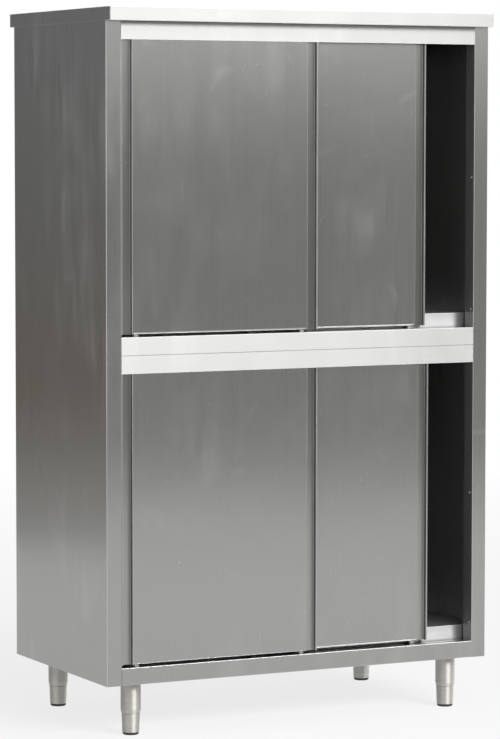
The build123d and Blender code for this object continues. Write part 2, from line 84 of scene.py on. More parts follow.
# Points closer than this are merged, and round pieces have this many steps
MERGE_DISTANCE = 0.00001
FOOT_STEPS = 64
THREAD_STEPS = 24
WELD_STEPS = 120
SCREW_STEPS = 12
RIVET_STEPS = 16
STAGE_STEPS = 96
SMOOTH_ANGLE = radians(35)

# Outlines of a weld bead, a screw head and a rivet head, as shares of their width and height
WELD_BEAD = ((0.0, 0.0), (0.0, 1.0), (0.45, 0.85), (0.85, 0.45), (1.0, 0.0), (0.0, 0.0))
SCREW_HEAD = (
    (0.0, 0.4), (0.5, 0.4), (0.5, 1.0), (0.75, 0.92),
    (0.94, 0.6), (1.0, 0.2), (1.0, 0.0), (0.0, 0.0),
)
RIVET_HEAD = (
    (0.0, 0.5), (0.27, 0.5), (0.3, 1.0), (0.6, 0.93),
    (0.88, 0.55), (1.0, 0.15), (1.0, 0.0), (0.0, 0.0),
)

# Grain: lines across and along it, to the metre
GRAIN_ACROSS = 2400.0
GRAIN_ALONG = 2.0
GRAIN_SCALES = {
    "X": (GRAIN_ALONG, GRAIN_ACROSS, GRAIN_ACROSS),
    "Z": (GRAIN_ACROSS, GRAIN_ACROSS, GRAIN_ALONG),
}

# Marks on the sheet, to the metre, with the widths of the swirls and scratches
CLOUD_SCALE = 2.4
STROKE_SCALES = (16.0, 16.0, 3.0)
STROKE_SLANT = (0.0, radians(32), 0.0)
SWIRLS = (3.5, 0.02)
SCRATCHES = (6.0, 0.007)
SPECK_SCALE = 14.0
SPECK_EDGE = (0.02, 0.05)

# Other patterns, to the metre
WAVE_SCALE = 2.6
PATCH_SCALE = 9.0
MOTTLE_SCALE = 60.0
SPECKLE_SCALE = 900.0
RING_SCALES = (20.0, 20.0, 900.0)

# Depths of each finish's lines or texture, and how far the grain's roughness varies
GRAIN_DEPTH = 0.0000015
LINE_DEPTH = 0.00001
PLATING_DEPTH = 0.00002
WELD_DEPTH = 0.00003
SKIN_DEPTH = 0.00005
GRAIN_ROUGHNESS = 0.012

# Range that most of a noise lies in, and how near something stands where shade is painted
NOISE_SWING = (0.3, 0.7)
PAINTED_SHADE_REACH = 0.012

# Parts of a normal from which a face looks up or sideways, is a level fold, or is side sheet
LOOKS_UP = (0.9, 0.98)
LOOKS_SIDEWAYS = (0.8, 0.98)
LOOKS_LEVEL = (0.1, 0.3)
GRAIN_TURNS = (0.7, 0.9)

# Direction across the grain: only the part that lies in a face counts
ACROSS_GRAIN = {"X": (0.0, 1.0, 0.05), "Z": (1.0, 0.05, 0.0), "round": (0.0, 0.05, 1.0)}

# Studio wall: the ways to its dim stretches in front and behind, and to its bright ones at the sides
FRONT_WALL_WAY = (0.26, -0.966, 0.0)
BACK_WALL_WAY = (-0.45, 0.89, 0.0)
LEFT_WALL_WAY = (-0.985, -0.174, 0.0)
RIGHT_WALL_WAY = (0.94, 0.34, 0.0)

# Where each stretch starts and is full along its way, by the wall's radius, and its foot on the left
FRONT_WALL_SPAN = (0.56, 0.77)
BACK_WALL_SPAN = (0.55, 0.8)
LEFT_WALL_SPAN = (0.75, 0.95)
RIGHT_WALL_SPAN = (0.6, 0.9)
LEFT_WALL_FOOT = (0.1, 0.35)
TALL_WALL_START = 0.5

# Tones of the dim stretches, from the foot of the wall to its top
FRONT_WALL = (
    (0.0, (0.35, 0.35, 0.33)),
    (0.38, (0.295, 0.29, 0.27)),
    (0.6, (0.255, 0.26, 0.24)),
    (0.7, (0.31, 0.31, 0.30)),
    (0.86, (0.79, 0.79, 0.79)),
    (1.0, (1.0, 1.0, 1.0)),
)
BACK_WALL = (
    (0.0, (0.55, 0.55, 0.53)),
    (0.25, (0.19, 0.155, 0.12)),
    (0.6, (0.16, 0.16, 0.155)),
    (1.0, (0.23, 0.235, 0.235)),
)

# Stage: places and sizes of its wall and lamps, the floor's look and how far the camera sees
WHITE = (1.0, 1.0, 1.0, 1.0)
CABINET_MIDDLE = (0.0, 0.0, 1.0)
SURROUND_MIDDLE = (0.5, -1.0)
KEY_PLACE = (2.5, -7.9, 4.9)
KEY_SIZE = (6.8, 2.6)
TOP_PLACE = (-0.3, -1.0, 6.0)
TOP_SIZE = (4.0, 4.0)
FLOOR_FADE = (0.6, 7.0)
FLOOR_GLOW = 0.78
FLOOR_ROUGHNESS = 0.9
CAMERA_REACH = 200.0

# Limits that like settings share
COLOUR = {"subtype": "COLOR", "size": 3, "min": 0.0, "max": 1.0}
SHARE = {"subtype": "FACTOR", "min": 0.0, "max": 1.0}
BRIGHTNESS = {"min": 0.0, "max": 4.0}
LENGTH = {"unit": "LENGTH", "min": 0.0}


# Settings
class CabinetFinish(bpy.types.PropertyGroup):
    """Colours and finishes of the cabinet's materials."""

    steel_colour: FloatVectorProperty(
        name="Steel", description="Colour of the stainless sheet",
        default=(0.37, 0.37, 0.366), **COLOUR)
    floor_colour: FloatVectorProperty(
        name="Shelf", description="Colour of the compartment floors",
        default=(0.335, 0.335, 0.335), **COLOUR)
    # Painted shade: darkens the doors' sideways faces in the finger grooves, and the headers' level
    # folds at the rails' seam
    painted_shade: FloatProperty(
        name="PaintedShade", description="How much darker the finger grooves and the rails' seam are",
        default=0.5, **SHARE)
    # Painted shade, patchy, on ledges and floors where something stands close over them
    painted_crevice_shade: FloatProperty(
        name="Crevice shade", description="How much darker ledges and floors are in crevices",
        default=0.85, **SHARE)
    # Painted light: brightens the ledges' faces that look up
    ledge_top_painted_light: FloatProperty(
        name="Ledge shine", description="How much brighter the ledges are on top, as painted light",
        default=1.9, **BRIGHTNESS)
    # Painted light: brightens the compartment floors' faces that look up
    floor_top_painted_light: FloatProperty(
        name="Shelf shine", description="How much brighter the compartment floors are on top",
        default=1.7, **BRIGHTNESS)
    floor_dust: FloatProperty(
        name="Shelf dust", description="How much of the compartment floors' sheen dust takes",
        default=0.2, **SHARE)
    ledge_roughness: FloatProperty(
        name="Ledge roughness", description="Roughness of the ledges and floors on top",
        subtype="FACTOR", min=0.01, max=1.0, default=0.14)
    # Painted highlight: extra brightness on the doors' level outward folds, such as their bottom edges
    door_edge_painted_highlight: FloatProperty(
        name="Door edge shine", description="How much brighter still the doors' bottom edges are",
        default=2.5, **BRIGHTNESS)
    # Wear and painted highlight: brightness on the outward folds
    edge_wear_and_highlight: FloatProperty(
        name="Edge shine", description="How much brighter the rubbed folds are than the flat sheet",
        default=0.65, **BRIGHTNESS)
    steel_roughness: FloatProperty(
        name="Steel roughness", description="Mean roughness of the sheet brushed up and down",
        default=0.28, **SHARE)
    level_roughness: FloatProperty(
        name="Rail roughness", description="Mean roughness of the sheet brushed from side to side",
        default=0.5, **SHARE)
    steel_grain: FloatProperty(
        name="Grain", description="How much wider light spreads across the grain than along it",
        default=0.95, **SHARE)
    streak_contrast: FloatProperty(
        name="Streaks", description="How far the grain's streaks vary in brightness",
        default=0.025, **SHARE)
    smudge_strength: FloatProperty(
        name="Smudges", description="How much duller the wiped patches are", default=0.04, **SHARE)
    smudge_light: FloatProperty(
        name="Smudge light", description="How much lighter the wiped patches are", default=0.2, **SHARE)
    scratch_light: FloatProperty(
        name="Scratches", description="How much lighter scratches and swirls are", default=0.09, **SHARE)
    scratch_strength: FloatProperty(
        name="Scratch dullness", description="How much duller the scratches are", default=0.04, **SHARE)
    speck_light: FloatProperty(
        name="Specks", description="How much lighter the specks are", default=0.4, **SHARE)
    ripple_height: FloatProperty(
        name="Ripple", description="Height of the slow waves that thin sheet shows",
        default=0.0009, **LENGTH)
    tube_colour: FloatVectorProperty(
        name="Tube", description="Colour of the leg tubes and feet",
        default=(0.49, 0.478, 0.45), **COLOUR)
    aluminium_colour: FloatVectorProperty(
        name="Track", description="Colour of the aluminium tracks",
        default=(0.66, 0.66, 0.67), **COLOUR)
    zinc_colour: FloatVectorProperty(
        name="Plating", description="Colour of the zinc plated steel",
        default=(0.55, 0.55, 0.56), **COLOUR)
    nylon_colour: FloatVectorProperty(
        name="Nylon", description="Colour of the rollers and track stops",
        default=(0.7, 0.69, 0.66), **COLOUR)
    glide_colour: FloatVectorProperty(
        name="Glide", description="Colour of the glides under the doors",
        default=(0.27, 0.27, 0.26), **COLOUR)
    buffer_colour: FloatVectorProperty(
        name="Buffer", description="Colour of the soft buffers on the jambs",
        default=(0.25, 0.25, 0.24), **COLOUR)
    sole_colour: FloatVectorProperty(
        name="Sole", description="Colour of the plastic soles", default=(0.022, 0.022, 0.022), **COLOUR)
    weld_colour: FloatVectorProperty(
        name="Weld", description="Colour of the weld beads", default=(0.42, 0.42, 0.43), **COLOUR)
    heat_colour: FloatVectorProperty(
        name="Heat tint", description="Straw tint that the heat left on the weld beads",
        default=(0.46, 0.36, 0.2), **COLOUR)


class CabinetFasteners(bpy.types.PropertyGroup):
    """Sizes of the rivets, screws, weld beads and threads."""

    rivet_radius: FloatProperty(
        name="Rivet radius", description="Radius of the rivet heads", default=0.0042, **LENGTH)
    rivet_height: FloatProperty(
        name="Rivet height", description="Height of the rivet heads", default=0.0016, **LENGTH)
    rivet_pitch: FloatProperty(
        name="Rivet pitch", description="Distance between rivets, about", default=0.15, **LENGTH)
    rivet_margin: FloatProperty(
        name="Rivet margin", description="Distance from a row's first rivet to the end of the sheet",
        default=0.06, **LENGTH)
    seam_margin: FloatProperty(
        name="Seam margin", description="Distance from the back's seam to its rows of rivets",
        default=0.01, **LENGTH)
    screw_radius: FloatProperty(
        name="Screw radius", description="Radius of the screw heads", default=0.0035, **LENGTH)
    screw_height: FloatProperty(
        name="Screw height", description="Height of the screw heads", default=0.0021, **LENGTH)
    screw_spread: FloatProperty(
        name="Screw spread", description="Distance from the middle of a hanger to its screws",
        default=0.022, **LENGTH)
    weld_size: FloatProperty(
        name="Weld size", description="Height and width of the weld beads on the legs",
        default=0.003, **LENGTH)
    weld_ripple: FloatProperty(
        name="Weld ripple", description="How far the weld beads' ripples stand out",
        default=0.00035, **LENGTH)
    thread_pitch: FloatProperty(
        name="Thread pitch", description="Rise of the thread in one turn", default=0.002, **LENGTH)
    thread_depth: FloatProperty(
        name="Thread depth", description="Depth of the thread", default=0.0011, **LENGTH)


class StudioSetup(bpy.types.PropertyGroup):
    """Floor, lamps, surround and camera."""

    floor_radius: FloatProperty(
        name="Floor radius", description="Radius of the floor", default=60.0, **LENGTH)
    floor_colour: FloatVectorProperty(
        name="Floor", description="Colour of the floor", default=(0.82, 0.82, 0.81), **COLOUR)
    ambient: FloatProperty(
        name="Ambient", description="Strength of the light from all round", default=0.3, **BRIGHTNESS)
    key_power: FloatProperty(
        name="Key light", description="Power of the soft light in front",
        unit="POWER", min=0.0, default=905.0)
    top_power: FloatProperty(
        name="Top light", description="Power of the soft light overhead",
        unit="POWER", min=0.0, default=20.0)
    surround_radius: FloatProperty(
        name="Surround radius", description="Radius of the studio wall that the steel reflects",
        default=5.3, **LENGTH)
    surround_height: FloatProperty(
        name="Surround height", description="Height of the studio wall", default=2.4, **LENGTH)
    back_wall_height: FloatProperty(
        name="Back wall height", description="Height of the wall behind the cabinet on the left",
        default=5.5, **LENGTH)
    left_wall: FloatProperty(
        name="Left wall", description="Brightness of the wall on the left", default=1.3, **BRIGHTNESS)
    right_wall: FloatProperty(
        name="Right wall", description="Brightness of the wall on the right", default=2.2, **BRIGHTNESS)
    camera_place: FloatVectorProperty(
        name="Camera", description="Where the camera stands",
        subtype="TRANSLATION", size=3, default=(-4.190, -8.306, 1.653))
    camera_heading: FloatProperty(
        name="Heading", description="Turn of the view from straight on, to the right",
        subtype="ANGLE", default=radians(26.759))
    camera_pitch: FloatProperty(
        name="Pitch", description="Tilt of the view above the horizon",
        subtype="ANGLE", default=radians(-4.1475))
    camera_roll: FloatProperty(
        name="Roll", description="Turn of the picture about the view",
        subtype="ANGLE", default=radians(-0.053))
    camera_lens: FloatProperty(
        name="Lens", description="Focal length",
        subtype="DISTANCE_CAMERA", min=1.0, default=157.3)


# Node helpers
def add_node(tree, kind, inputs=None, **options):
    """A new node with its options set, and its inputs set to values or joined to outputs."""
    node = tree.nodes.new(kind)
    for option, value in options.items():
        setattr(node, option, value)
    for socket, value in (inputs or {}).items():
        if isinstance(value, bpy.types.NodeSocket):
            tree.links.new(value, node.inputs[socket])
        else:
            node.inputs[socket].default_value = value
    return node


def noise(tree, place, scale, detail=2.0, roughness=0.5, distortion=0.0):
    """Value of a noise texture at a place."""
    look = {"Scale": scale, "Detail": detail, "Roughness": roughness, "Distortion": distortion}
    return add_node(tree, "ShaderNodeTexNoise", {"Vector": place, **look}).outputs["Fac"]


def remap(tree, value, low, high, new_low, new_high):
    """A value stretched from one range to another, and held inside the new one."""
    limits = {"From Min": low, "From Max": high, "To Min": new_low, "To Max": new_high}
    return add_node(tree, "ShaderNodeMapRange", {"Value": value, **limits}).outputs["Result"]


def noise_between(tree, value, low, high):
    """A noise whose usual swing is stretched from low to high."""
    return remap(tree, value, *NOISE_SWING, low, high)


def arithmetic(tree, operation, first, second=0.0):
    """Two values put together; the second may be a plain number, or not needed."""
    return add_node(tree, "ShaderNodeMath", {0: first, 1: second}, operation=operation).outputs["Value"]


def raised(tree, value, effect, amount):
    """A value plus so much of an effect."""
    return arithmetic(tree, "ADD", value, arithmetic(tree, "MULTIPLY", effect, amount))


def mapped(tree, place, scale, turn=(0.0, 0.0, 0.0)):
    """A place turned and stretched for a texture."""
    change = {"Vector": place, "Scale": scale, "Rotation": turn}
    return add_node(tree, "ShaderNodeMapping", change).outputs["Vector"]


def tinted(tree, colour, brightness):
    """A colour made lighter or darker by a value that changes over the surface."""
    product = {0: colour, "Scale": brightness}
    return add_node(tree, "ShaderNodeVectorMath", product, operation="SCALE").outputs["Vector"]


def bumped(tree, height, distance, below=None):
    """A normal bent by a height, on top of another normal if one is given."""
    shape = {"Height": height, "Distance": distance}
    if below:
        shape["Normal"] = below
    return add_node(tree, "ShaderNodeBump", shape).outputs["Normal"]


def blended(tree, share, first, second):
    """One colour passing into another; either may be a plain colour."""
    return add_node(tree, "ShaderNodeMix", {0: share, 6: first, 7: second}, data_type="RGBA").outputs[2]


def make_group(name, effect):
    """The node group of an effect, from a place to the effect's values."""
    group = bpy.data.node_groups.new(name, "ShaderNodeTree")
    group.interface.new_socket("Place", in_out="INPUT", socket_type="NodeSocketVector")
    values = effect(group, group.nodes.new("NodeGroupInput").outputs["Place"])
    for output in values:
        group.interface.new_socket(output, in_out="OUTPUT", socket_type="NodeSocketFloat")
    add_node(group, "NodeGroupOutput", values)


def use_effect(tree, effect, place):
    """Outputs of a shared effect placed in a material. Its group is made on first use."""
    name = effect.__name__
    if name not in bpy.data.node_groups:
        make_group(name, effect)
    group = bpy.data.node_groups[name]
    return add_node(tree, "ShaderNodeGroup", {"Place": place}, node_tree=group).outputs


def new_material(name, metallic=0.0):
    """The node tree of a new material, its shader and the place of each point on the piece."""
    material = bpy.data.materials.new(name)
    material.use_nodes = True
    tree = material.node_tree
    shader = tree.nodes["Principled BSDF"]
    shader.inputs["Metallic"].default_value = metallic
    return tree, shader, add_node(tree, "ShaderNodeTexCoord").outputs["Object"]


def join_surface(tree, shader, colour, rough, normal):
    """Joins what changes over a surface to its shader."""
    tree.links.new(colour, shader.inputs["Base Color"])
    tree.links.new(rough, shader.inputs["Roughness"])
    tree.links.new(normal, shader.inputs["Normal"])


# Shared effects
def brushed_grain(group, place):
    """Fine streaks with broader ones among them, on a place already stretched along the grain."""
    fine = arithmetic(group, "MULTIPLY", noise(group, place, 1.0, roughness=0.6), 0.75)
    return {"Streaks": raised(group, fine, noise(group, place, 0.09), 0.25)}


def wipe_marks(group, place):
    """Dull patches left by a cloth: slanting strokes inside soft clouds."""
    clouds = noise(group, place, CLOUD_SCALE, detail=3.0, distortion=0.5)
    clouds = remap(group, clouds, 0.48, 0.68, 0.0, 1.0)
    strokes_at = mapped(group, place, STROKE_SCALES, STROKE_SLANT)
    strokes = remap(group, noise(group, strokes_at, 1.0, detail=3.0), 0.40, 0.68, 0.0, 1.0)
    return {"Marks": arithmetic(group, "MULTIPLY", clouds, strokes)}


def broken_lines(group, place, scale, width):
    """Lines that curve every way and come and go."""
    wander = arithmetic(group, "SUBTRACT", noise(group, place, scale, detail=0.5), 0.5)
    lines = remap(group, arithmetic(group, "ABSOLUTE", wander), 0.0, width, 1.0, 0.0)
    rare = remap(group, noise(group, place, 2.0 * scale, detail=1.0), 0.6, 0.72, 0.0, 1.0)
    return arithmetic(group, "MULTIPLY", lines, rare)


def hairline_scratches(group, place):
    """A few soft swirls and thin scratches."""
    swirls = broken_lines(group, place, *SWIRLS)
    scratches = broken_lines(group, place, *SCRATCHES)
    return {"Scratches": arithmetic(group, "MAXIMUM", swirls, scratches)}


def dust_specks(group, place):
    """Light specks a few millimetres across."""
    cells = add_node(group, "ShaderNodeTexVoronoi", {"Vector": place, "Scale": SPECK_SCALE})
    return {"Specks": remap(group, cells.outputs["Distance"], *SPECK_EDGE, 1.0, 0.0)}


def sheet_ripple(group, place):
    """Slow waves of a thin sheet that isn't quite flat."""
    slow = noise(group, place, WAVE_SCALE, detail=1.0)
    return {"Height": raised(group, slow, noise(group, place, 8.0, detail=1.0), 0.2)}


def fine_mottle(group, place):
    """Close mottling of a moulded or plated surface."""
    mottle = noise(group, place, MOTTLE_SCALE, detail=3.0)
    return {"Mottle": mottle, "Speckle": noise(group, place, SPECKLE_SCALE)}


def fold_wear_and_highlight(group, place):
    """Wear and painted highlight that come and go along the outward folds, whose faces point along no
    axis.
    """
    surface = add_node(group, "ShaderNodeNewGeometry")
    plain = add_node(group, "ShaderNodeVectorMath", {0: surface.outputs["Normal"]}, operation="ABSOLUTE")
    parts = add_node(group, "ShaderNodeSeparateXYZ", {"Vector": plain.outputs["Vector"]})
    most = arithmetic(group, "MAXIMUM", parts.outputs["X"], parts.outputs["Y"])
    most = arithmetic(group, "MAXIMUM", most, parts.outputs["Z"])
    folded = remap(group, most, 0.86, 0.985, 1.0, 0.0)
    outward = remap(group, surface.outputs["Pointiness"], 0.5, 0.506, 0.0, 1.0)
    patchy = noise_between(group, noise(group, place, PATCH_SCALE), 0.6, 1.0)
    wear_and_highlight = arithmetic(group, "MULTIPLY", outward, patchy)
    return {"WearAndHighlight": arithmetic(group, "MULTIPLY", folded, wear_and_highlight)}


def painted_crevice_shade(group, place):
    """Painted shade that comes and goes where something stands close over a surface."""
    near = add_node(group, "ShaderNodeAmbientOcclusion", {"Distance": PAINTED_SHADE_REACH}, samples=8)
    shut_in = remap(group, near.outputs["AO"], 0.2, 0.75, 1.0, 0.0)
    patchy = noise_between(group, noise(group, place, PATCH_SCALE), 0.85, 1.0)
    return {"PaintedShade": arithmetic(group, "MULTIPLY", shut_in, patchy)}


# Materials
def grain_streaks(tree, place, grain):
    """Streaks that run along an axis."""
    return use_effect(tree, brushed_grain, mapped(tree, place, GRAIN_SCALES[grain]))["Streaks"]


def lay_grain(tree, shader, grain, amount):
    """Makes a shader spread light across the grain."""
    shader.inputs["Anisotropic"].default_value = amount
    across = add_node(tree, "ShaderNodeCombineXYZ", dict(zip("XYZ", ACROSS_GRAIN[grain])))
    tree.links.new(across.outputs["Vector"], shader.inputs["Tangent"])


def brushed_steel(name, finish, grain, colour, roughness,
                  up=(1.0, None), sideways=1.0, level_shine=0.0, dust=0.0, crevices=0.0):
    """Stainless sheet with grain along an axis, wear and painted highlight on outward folds, marks and
    ripples. Faces that look up can have their own brightness as painted light, roughness and dust;
    faces that look sideways a brightness as painted shade; level folds an extra painted highlight or
    shade; and crevices painted shade."""
    tree, shader, place = new_material(name, metallic=1.0)
    lay_grain(tree, shader, grain, finish.steel_grain)
    streaks = grain_streaks(tree, place, grain)
    marks = use_effect(tree, wipe_marks, place)["Marks"]
    scratches = use_effect(tree, hairline_scratches, place)["Scratches"]
    specks = use_effect(tree, dust_specks, place)["Specks"]
    wear_and_highlight = use_effect(tree, fold_wear_and_highlight, place)["WearAndHighlight"]
    normal = add_node(tree, "ShaderNodeNewGeometry").outputs["Normal"]
    facing = add_node(tree, "ShaderNodeSeparateXYZ", {"Vector": normal}).outputs
    across = arithmetic(tree, "ABSOLUTE", facing["X"])
    if dust:
        metal = remap(tree, facing["Z"], *LOOKS_UP, 1.0, 1.0 - dust)
        tree.links.new(metal, shader.inputs["Metallic"])

    swing = finish.streak_contrast
    light = noise_between(tree, streaks, 1.0 - swing, 1.0 + swing)
    light = raised(tree, light, scratches, finish.scratch_light)
    light = raised(tree, light, specks, finish.speck_light)
    light = raised(tree, light, marks, finish.smudge_light)
    # Outward folds get wear and a painted highlight; level folds an extra painted highlight, or painted
    # shade where it is negative
    shine = remap(tree, across, *LOOKS_LEVEL, finish.edge_wear_and_highlight + level_shine, finish.edge_wear_and_highlight)
    light = raised(tree, light, wear_and_highlight, shine)
    # Painted light on faces that look up; painted shade on faces that look sideways
    light = arithmetic(tree, "MULTIPLY", light, remap(tree, facing["Z"], *LOOKS_UP, 1.0, up[0]))
    light = arithmetic(tree, "MULTIPLY", light, remap(tree, across, *LOOKS_SIDEWAYS, 1.0, sideways))
    # Painted shade where something stands close over the surface
    if crevices:
        painted_shade = use_effect(tree, painted_crevice_shade, place)["PaintedShade"]
        light = arithmetic(tree, "MULTIPLY", light, remap(tree, painted_shade, 0.0, 1.0, 1.0, 1.0 - crevices))

    rough = remap(tree, across, *GRAIN_TURNS, roughness, finish.steel_roughness)
    if up[1]:
        change = remap(tree, facing["Z"], *LOOKS_UP, 0.0, up[1] - roughness)
        rough = arithmetic(tree, "ADD", rough, change)
    lines = noise_between(tree, streaks, -GRAIN_ROUGHNESS, GRAIN_ROUGHNESS)
    rough = arithmetic(tree, "ADD", rough, lines)
    rough = raised(tree, rough, marks, finish.smudge_strength)
    rough = raised(tree, rough, scratches, finish.scratch_strength)

    waves = use_effect(tree, sheet_ripple, place)["Height"]
    normal = bumped(tree, waves, finish.ripple_height)
    normal = bumped(tree, streaks, GRAIN_DEPTH, normal)
    join_surface(tree, shader, tinted(tree, colour, light), rough, normal)


def satin_tube(name, finish):
    """Satin tube, brushed round, with faint rings and handling marks."""
    tree, shader, place = new_material(name, metallic=1.0)
    lay_grain(tree, shader, "round", 0.8)
    rings = noise(tree, mapped(tree, place, RING_SCALES), 1.0)
    marks = use_effect(tree, wipe_marks, mapped(tree, place, (6.0, 6.0, 6.0)))["Marks"]
    colour = tinted(tree, finish.tube_colour, noise_between(tree, rings, 0.9, 1.08))
    rough = raised(tree, noise_between(tree, rings, 0.5, 0.56), marks, 0.12)
    join_surface(tree, shader, colour, rough, bumped(tree, rings, LINE_DEPTH))


def drawn_aluminium(name, finish):
    """Extruded track with die lines along it."""
    tree, shader, place = new_material(name, metallic=1.0)
    lay_grain(tree, shader, "X", 0.6)
    streaks = grain_streaks(tree, place, "X")
    colour = tinted(tree, finish.aluminium_colour, noise_between(tree, streaks, 0.86, 1.06))
    rough = noise_between(tree, streaks, 0.32, 0.44)
    join_surface(tree, shader, colour, rough, bumped(tree, streaks, LINE_DEPTH))


def zinc_plate(name, finish):
    """Plated steel with a cloudy sheen."""
    tree, shader, place = new_material(name, metallic=1.0)
    spots = use_effect(tree, fine_mottle, place)
    colour = tinted(tree, finish.zinc_colour, noise_between(tree, spots["Mottle"], 0.8, 1.12))
    rough = noise_between(tree, spots["Mottle"], 0.5, 0.28)
    join_surface(tree, shader, colour, rough, bumped(tree, spots["Speckle"], PLATING_DEPTH))


def weld_bead(name, finish):
    """Weld metal with a straw heat tint that comes and goes along it."""
    tree, shader, place = new_material(name, metallic=1.0)
    spots = use_effect(tree, fine_mottle, place)
    tint = remap(tree, spots["Mottle"], 0.4, 0.65, 0.0, 1.0)
    colour = blended(tree, tint, (*finish.weld_colour, 1.0), (*finish.heat_colour, 1.0))
    rough = noise_between(tree, spots["Speckle"], 0.3, 0.5)
    join_surface(tree, shader, colour, rough, bumped(tree, spots["Speckle"], WELD_DEPTH))


def moulded(name, colour, sheen, roughness):
    """Moulded plastic with a fine skin texture and slight mottling."""
    tree, shader, place = new_material(name)
    spots = use_effect(tree, fine_mottle, place)
    shader.inputs["Specular IOR Level"].default_value = sheen
    colour = tinted(tree, colour, noise_between(tree, spots["Mottle"], 0.9, 1.06))
    rough = noise_between(tree, spots["Speckle"], roughness - 0.08, roughness + 0.1)
    join_surface(tree, shader, colour, rough, bumped(tree, spots["Speckle"], SKIN_DEPTH))


def white_nylon(name, finish):
    """Nylon of the rollers and track stops."""
    moulded(name, finish.nylon_colour, 0.4, 0.42)


def dull_nylon(name, finish):
    """Nylon of the glides."""
    moulded(name, finish.glide_colour, 0.3, 0.6)


def buffer_rubber(name, finish):
    """Rubber of the buffers."""
    moulded(name, finish.buffer_colour, 0.3, 0.6)


def sole_plastic(name, finish):
    """Plastic of the feet's soles."""
    moulded(name, finish.sole_colour, 0.4, 0.5)


def upright_steel(name, finish, **changes):
    """Sheet brushed up and down."""
    brushed_steel(name, finish, "Z", finish.steel_colour, finish.steel_roughness, **changes)


def level_steel(name, finish, **changes):
    """Sheet brushed from side to side."""
    brushed_steel(name, finish, "X", finish.steel_colour, finish.level_roughness, **changes)


def door_steel(name, finish):
    """Sheet of the doors, with painted shade on the grooves' sideways faces, and wear and a strong
    painted highlight along the level folds, such as the bottom edge.
    """
    upright_steel(name, finish, sideways=1.0 - finish.painted_shade, level_shine=finish.door_edge_painted_highlight)


def header_steel(name, finish):
    """Sheet of the headers, whose level folds get painted shade in place of wear and highlight,
    darkening the seam over the lower one.
    """
    level_steel(name, finish, level_shine=-finish.edge_wear_and_highlight - finish.painted_shade)


def floor_steel(name, finish):
    """Sheet of the compartment floors, smooth and dusty on top with painted light there, less handled,
    and with painted shade in crevices.
    """
    top = (finish.floor_top_painted_light, finish.ledge_roughness)
    look = {"up": top, "dust": finish.floor_dust, "crevices": finish.painted_crevice_shade}
    brushed_steel(name, finish, "X", finish.floor_colour, finish.level_roughness, **look)


def ledge_look(finish):
    """Painted light on a ledge's faces that look up, which are also smoother, and painted shade in its
    crevices.
    """
    return {"up": (finish.ledge_top_painted_light, finish.ledge_roughness), "crevices": finish.painted_crevice_shade}


def upright_ledge_steel(name, finish):
    """Sheet of the bottom rail with its ledge."""
    upright_steel(name, finish, **ledge_look(finish))


def level_ledge_steel(name, finish):
    """Sheet of the middle rail with its ledge."""
    level_steel(name, finish, **ledge_look(finish))


def finish_of(maker):
    """A material of the cabinet, made on first use and named for its maker."""
    name = maker.__name__
    if name not in bpy.data.materials:
        maker(name, bpy.context.scene.cabinet_finish)
    return bpy.data.materials[name]


def dress(nodes, maker):
    """Gives CAD nodes a material."""
    for name in nodes:
        for slot in frame["nodes"][name].material_slots:
            slot.material = finish_of(maker)


# Modelling helpers
def select_points(piece, test):
    """Enters edit mode with only the points that pass a test selected."""
    bpy.ops.object.mode_set(mode="EDIT")
    bpy.ops.mesh.select_mode(type="VERT")
    bpy.ops.mesh.select_all(action="DESELECT")
    bpy.ops.object.mode_set(mode="OBJECT")
    for point in piece.data.vertices:
        point.select = test(point.co)
    bpy.ops.object.mode_set(mode="EDIT")


def drawn_line(name, points):
    """A new piece in edit mode: a line through points of radius and height, drawn on the X side."""
    bpy.ops.object.select_all(action="DESELECT")
    bpy.ops.mesh.primitive_plane_add(size=MERGE_DISTANCE)
    piece = bpy.context.object
    piece.name = name
    bpy.ops.object.mode_set(mode="EDIT")
    bpy.ops.mesh.merge(type="CENTER")
    radius, height = points[0]
    bpy.ops.transform.translate(value=(radius, 0.0, height))
    for start, end in zip(points, points[1:]):
        step = (end[0] - start[0], 0.0, end[1] - start[1])
        bpy.ops.mesh.extrude_vertices_move(TRANSFORM_OT_translate={"value": step})
    return piece


def clean_faces():
    """Merges the points that meet in edit mode, turns the faces outwards and leaves edit mode."""
    bpy.ops.mesh.select_all(action="SELECT")
    bpy.ops.mesh.remove_doubles(threshold=MERGE_DISTANCE)
    bpy.ops.mesh.normals_make_consistent(inside=False)
    bpy.ops.object.mode_set(mode="OBJECT")


def sized(outline, radius, height):
    """Points of an outline at its real size."""
    return [(radius * out, height * up) for out, up in outline]


def turned_piece(name, points, steps):
    """A new round piece: a line through points of radius and height, spun about Z."""
    piece = drawn_line(name, points)
    bpy.ops.mesh.select_all(action="SELECT")
    bpy.ops.mesh.spin(steps=steps, angle=2 * pi, center=(0.0, 0.0, 0.0), axis=(0.0, 0.0, 1.0))
    clean_faces()
    return piece


def spoke(point, steps):
    """Number of the spoke that a point of a round piece is on."""
    return round(atan2(point.y, point.x) / (2 * pi) * steps)


def copy_at(piece, place):
    """A copy of a piece, with its own mesh, at a place."""
    copy = piece.copy()
    copy.data = piece.data.copy()
    bpy.context.scene.collection.objects.link(copy)
    copy.location = place
    return copy


def joined(pieces, name):
    """Pieces joined as one, which sits at the origin with its place in its mesh."""
    bpy.ops.object.select_all(action="DESELECT")
    for piece in pieces:
        piece.select_set(True)
    whole = pieces[0]
    bpy.context.view_layer.objects.active = whole
    bpy.ops.object.transform_apply(location=True, rotation=True, scale=True)
    if len(pieces) > 1:
        bpy.ops.object.join()
    whole.name = name
    return whole


def spread(pattern, places, name):
    """Copies of a pattern at each place, joined as one piece. The pattern itself goes."""
    whole = joined([copy_at(pattern, place) for place in places], name)
    bpy.data.objects.remove(pattern)
    return whole


